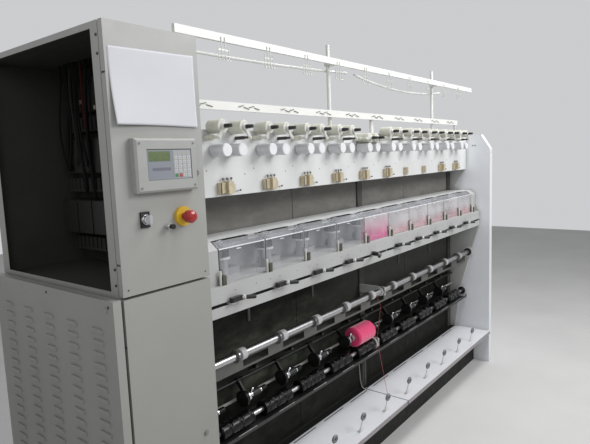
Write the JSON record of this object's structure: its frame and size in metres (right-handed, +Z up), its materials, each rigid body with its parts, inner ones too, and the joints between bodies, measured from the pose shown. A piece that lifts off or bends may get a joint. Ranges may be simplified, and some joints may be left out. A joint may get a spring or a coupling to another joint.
{
  "type": "industrial knitting machine",
  "caption": "Industrial knitting and winding machine: heads under clear covers in a row, with feed panel, winding shaft, yarn shelf and a tall control cabinet at the left end.",
  "frame": {"origin": "middle of the bounding box, on the floor", "axes": "+X along the row of heads, from the control cabinet to the end plate; +Y from the front, where the operator stands, to the back; +Z up"},
  "size_m": [3.205, 0.802, 2.143],
  "materials": {
    "cabinet_paint": "satin light warm grey powder coat",
    "frame_paint": "satin pale grey powder coat",
    "panel_white": "satin white powder coat",
    "shelf_white": "satin white with a faint lilac cast",
    "tray_sheet": "satin grey sheet",
    "dark_sheet": "matt dark grey sheet",
    "electrical_gear": "matt mixed grey plastic",
    "terminal_plastic": "matt light grey plastic",
    "yellow_collar": "satin yellow plastic",
    "red_button": "glossy red plastic",
    "black_button": "glossy black plastic",
    "control_chrome": "polished chrome",
    "shaft_steel": "ground steel",
    "black_drums": "glossy black moulded plastic",
    "pink_yarn": "soft hot pink wound yarn",
    "silver_drums": "satin turned aluminium",
    "cream_rollers": "satin cream plastic with dark ends",
    "brass_blocks": "satin brass coloured metal",
    "head_metal": "dark oiled steel with bright turned parts",
    "guide_wire": "bright bent wire",
    "clear_covers": "clear plastic sheet with polished edges",
    "lever_black": "black plastic grip and block",
    "cradle_black": "satin black"
  },
  "bodies": {
    "machine": {"cabinet_shell": "cabinet_paint", "louvre_cover": "cabinet_paint", "electrical_gear": "electrical_gear", "machine_frame": "frame_paint", "back_panels": "dark_sheet", "end_plate": "frame_paint", "bearing_plates": "frame_paint", "feed_panel": "panel_white", "feed_drums": "silver_drums", "pressure_rollers": "cream_rollers", "stop_motions": "brass_blocks", "bench": "frame_paint", "knitting_heads": "head_metal", "fascia": "frame_paint", "thread_rails": "panel_white", "thread_guides": "guide_wire", "shaft_trays": "tray_sheet", "yarn_shelf": "shelf_white", "yarn_eyelets": "guide_wire"},
    "upper_door": {"upper_door": "cabinet_paint", "operator_terminal": "terminal_plastic", "control_bezels": "yellow_collar"},
    "lower_door": {"lower_door": "cabinet_paint"},
    "emergency_stop": {"emergency_stop_button": "red_button"},
    "selector": {"selector_switch": "control_chrome"},
    "jog": {"jog_button": "black_button"},
    "take_up": {"take_up_shaft": "shaft_steel"},
    "winding": {"winding_shaft": "shaft_steel", "winding_drums": "black_drums"},
    "bobbin": {"bobbin": "pink_yarn"},
    "cover_1": {"needle_cover_1": "clear_covers"},
    "cover_2": {"needle_cover_2": "clear_covers"},
    "cover_3": {"needle_cover_3": "clear_covers"},
    "cover_4": {"needle_cover_4": "clear_covers"},
    "cover_5": {"needle_cover_5": "clear_covers"},
    "cover_6": {"needle_cover_6": "clear_covers"},
    "cover_7": {"needle_cover_7": "clear_covers"},
    "cover_8": {"needle_cover_8": "clear_covers"},
    "cover_9": {"needle_cover_9": "clear_covers"},
    "cover_10": {"needle_cover_10": "clear_covers"},
    "lever_1": {"start_lever_1": "lever_black"},
    "lever_2": {"start_lever_2": "lever_black"},
    "lever_3": {"start_lever_3": "lever_black"},
    "lever_4": {"start_lever_4": "lever_black"},
    "lever_5": {"start_lever_5": "lever_black"},
    "lever_6": {"start_lever_6": "lever_black"},
    "lever_7": {"start_lever_7": "lever_black"},
    "lever_8": {"start_lever_8": "lever_black"},
    "lever_9": {"start_lever_9": "lever_black"},
    "lever_10": {"start_lever_10": "lever_black"},
    "cradle_1": {"bobbin_cradle_1": "cradle_black"},
    "cradle_2": {"bobbin_cradle_2": "cradle_black"},
    "cradle_3": {"bobbin_cradle_3": "cradle_black"},
    "cradle_4": {"bobbin_cradle_4": "cradle_black"},
    "cradle_5": {"bobbin_cradle_5": "cradle_black"},
    "cradle_6": {"bobbin_cradle_6": "cradle_black"},
    "cradle_7": {"bobbin_cradle_7": "cradle_black"},
    "cradle_8": {"bobbin_cradle_8": "cradle_black"},
    "cradle_9": {"bobbin_cradle_9": "cradle_black"},
    "cradle_10": {"bobbin_cradle_10": "cradle_black"}
  },
  "joints": [
    {"name": "upper_door_hinge", "type": "hinge", "parent": "machine", "child": "upper_door", "pos_m": [-1.5545, -0.337, 1.622], "axis": [0, 0, -1], "range_deg": [0, 105]},
    {"name": "lower_door_hinge", "type": "hinge", "parent": "machine", "child": "lower_door", "pos_m": [-1.5545, -0.337, 0.648], "axis": [0, 0, -1], "range_deg": [0, 105]},
    {"name": "emergency_stop_press", "type": "slide", "parent": "upper_door", "child": "emergency_stop", "axis": [0, 1, 0], "range_m": [0, 0.006]},
    {"name": "selector_turn", "type": "hinge", "parent": "upper_door", "child": "selector", "pos_m": [-1.4745, -0.365, 1.456], "axis": [0, 1, 0], "range_deg": [0, 90]},
    {"name": "jog_press", "type": "slide", "parent": "upper_door", "child": "jog", "axis": [0, 1, 0], "range_m": [0, 0.004], "stiffness_N_per_m": 800},
    {"name": "take_up_spin", "type": "hinge", "parent": "machine", "child": "take_up", "pos_m": [0.1875, -0.185, 0.85], "axis": [-1, 0, 0], "continuous": true},
    {"name": "winding_spin", "type": "hinge", "parent": "machine", "child": "winding", "pos_m": [0.1875, -0.138, 0.543], "axis": [-1, 0, 0], "continuous": true},
    {"name": "cover_1_hinge", "type": "hinge", "parent": "machine", "child": "cover_1", "pos_m": [-0.9685, -0.198, 1.317], "axis": [-1, 0, 0], "range_deg": [0, 75]},
    {"name": "cover_2_hinge", "type": "hinge", "parent": "machine", "child": "cover_2", "pos_m": [-0.7135, -0.198, 1.317], "axis": [-1, 0, 0], "range_deg": [0, 75]},
    {"name": "cover_3_hinge", "type": "hinge", "parent": "machine", "child": "cover_3", "pos_m": [-0.4585, -0.198, 1.317], "axis": [-1, 0, 0], "range_deg": [0, 75]},
    {"name": "cover_4_hinge", "type": "hinge", "parent": "machine", "child": "cover_4", "pos_m": [-0.2035, -0.198, 1.317], "axis": [-1, 0, 0], "range_deg": [0, 75]},
    {"name": "cover_5_hinge", "type": "hinge", "parent": "machine", "child": "cover_5", "pos_m": [0.0515, -0.198, 1.317], "axis": [-1, 0, 0], "range_deg": [0, 75]},
    {"name": "cover_6_hinge", "type": "hinge", "parent": "machine", "child": "cover_6", "pos_m": [0.3065, -0.198, 1.317], "axis": [-1, 0, 0], "range_deg": [0, 75]},
    {"name": "cover_7_hinge", "type": "hinge", "parent": "machine", "child": "cover_7", "pos_m": [0.5615, -0.198, 1.317], "axis": [-1, 0, 0], "range_deg": [0, 75]},
    {"name": "cover_8_hinge", "type": "hinge", "parent": "machine", "child": "cover_8", "pos_m": [0.8165, -0.198, 1.317], "axis": [-1, 0, 0], "range_deg": [0, 75]},
    {"name": "cover_9_hinge", "type": "hinge", "parent": "machine", "child": "cover_9", "pos_m": [1.0715, -0.198, 1.317], "axis": [-1, 0, 0], "range_deg": [0, 75]},
    {"name": "cover_10_hinge", "type": "hinge", "parent": "machine", "child": "cover_10", "pos_m": [1.3265, -0.198, 1.317], "axis": [-1, 0, 0], "range_deg": [0, 75]},
    {"name": "lever_1_turn", "type": "hinge", "parent": "machine", "child": "lever_1", "pos_m": [-1.0845, -0.287, 1.116], "axis": [0, 0, -1], "range_deg": [0, 110]},
    {"name": "lever_2_turn", "type": "hinge", "parent": "machine", "child": "lever_2", "pos_m": [-0.8295, -0.287, 1.116], "axis": [0, 0, -1], "range_deg": [0, 110]},
    {"name": "lever_3_turn", "type": "hinge", "parent": "machine", "child": "lever_3", "pos_m": [-0.5745, -0.287, 1.116], "axis": [0, 0, -1], "range_deg": [0, 110]},
    {"name": "lever_4_turn", "type": "hinge", "parent": "machine", "child": "lever_4", "pos_m": [-0.3195, -0.287, 1.116], "axis": [0, 0, -1], "range_deg": [0, 110]},
    {"name": "lever_5_turn", "type": "hinge", "parent": "machine", "child": "lever_5", "pos_m": [-0.0645, -0.287, 1.116], "axis": [0, 0, -1], "range_deg": [-110, 0]},
    {"name": "lever_6_turn", "type": "hinge", "parent": "machine", "child": "lever_6", "pos_m": [0.1905, -0.287, 1.116], "axis": [0, 0, -1], "range_deg": [0, 110]},
    {"name": "lever_7_turn", "type": "hinge", "parent": "machine", "child": "lever_7", "pos_m": [0.4455, -0.287, 1.116], "axis": [0, 0, -1], "range_deg": [0, 110]},
    {"name": "lever_8_turn", "type": "hinge", "parent": "machine", "child": "lever_8", "pos_m": [0.7005, -0.287, 1.116], "axis": [0, 0, -1], "range_deg": [0, 110]},
    {"name": "lever_9_turn", "type": "hinge", "parent": "machine", "child": "lever_9", "pos_m": [0.9555, -0.287, 1.116], "axis": [0, 0, -1], "range_deg": [0, 110]},
    {"name": "lever_10_turn", "type": "hinge", "parent": "machine", "child": "lever_10", "pos_m": [1.2105, -0.287, 1.116], "axis": [0, 0, -1], "range_deg": [0, 110]},
    {"name": "cradle_1_lift", "type": "hinge", "parent": "machine", "child": "cradle_1", "pos_m": [-1.1075, -0.059, 0.676], "axis": [-1, 0, 0], "range_deg": [0, 55]},
    {"name": "cradle_2_lift", "type": "hinge", "parent": "machine", "child": "cradle_2", "pos_m": [-0.8525, -0.059, 0.676], "axis": [-1, 0, 0], "range_deg": [0, 55]},
    {"name": "cradle_3_lift", "type": "hinge", "parent": "machine", "child": "cradle_3", "pos_m": [-0.5975, -0.059, 0.676], "axis": [-1, 0, 0], "range_deg": [0, 55]},
    {"name": "cradle_4_lift", "type": "hinge", "parent": "machine", "child": "cradle_4", "pos_m": [-0.3425, -0.059, 0.676], "axis": [-1, 0, 0], "range_deg": [0, 55]},
    {"name": "cradle_5_lift", "type": "hinge", "parent": "machine", "child": "cradle_5", "pos_m": [-0.0875, -0.059, 0.676], "axis": [-1, 0, 0], "range_deg": [0, 37.6]},
    {"name": "cradle_6_lift", "type": "hinge", "parent": "machine", "child": "cradle_6", "pos_m": [0.1675, -0.059, 0.676], "axis": [-1, 0, 0], "range_deg": [0, 55]},
    {"name": "cradle_7_lift", "type": "hinge", "parent": "machine", "child": "cradle_7", "pos_m": [0.4225, -0.059, 0.676], "axis": [-1, 0, 0], "range_deg": [0, 55]},
    {"name": "cradle_8_lift", "type": "hinge", "parent": "machine", "child": "cradle_8", "pos_m": [0.6775, -0.059, 0.676], "axis": [-1, 0, 0], "range_deg": [0, 55]},
    {"name": "cradle_9_lift", "type": "hinge", "parent": "machine", "child": "cradle_9", "pos_m": [0.9325, -0.059, 0.676], "axis": [-1, 0, 0], "range_deg": [0, 55]},
    {"name": "cradle_10_lift", "type": "hinge", "parent": "machine", "child": "cradle_10", "pos_m": [1.1875, -0.059, 0.676], "axis": [-1, 0, 0], "range_deg": [0, 55]},
    {"name": "bobbin_spin", "type": "hinge", "parent": "cradle_5", "child": "bobbin", "pos_m": [0.0505, -0.123, 0.629], "axis": [-1, 0, 0], "continuous": true}
  ],
  "couplings": [
    {"joint": "bobbin_spin", "follows": "winding_spin", "ratio": -0.6111}
  ]
}
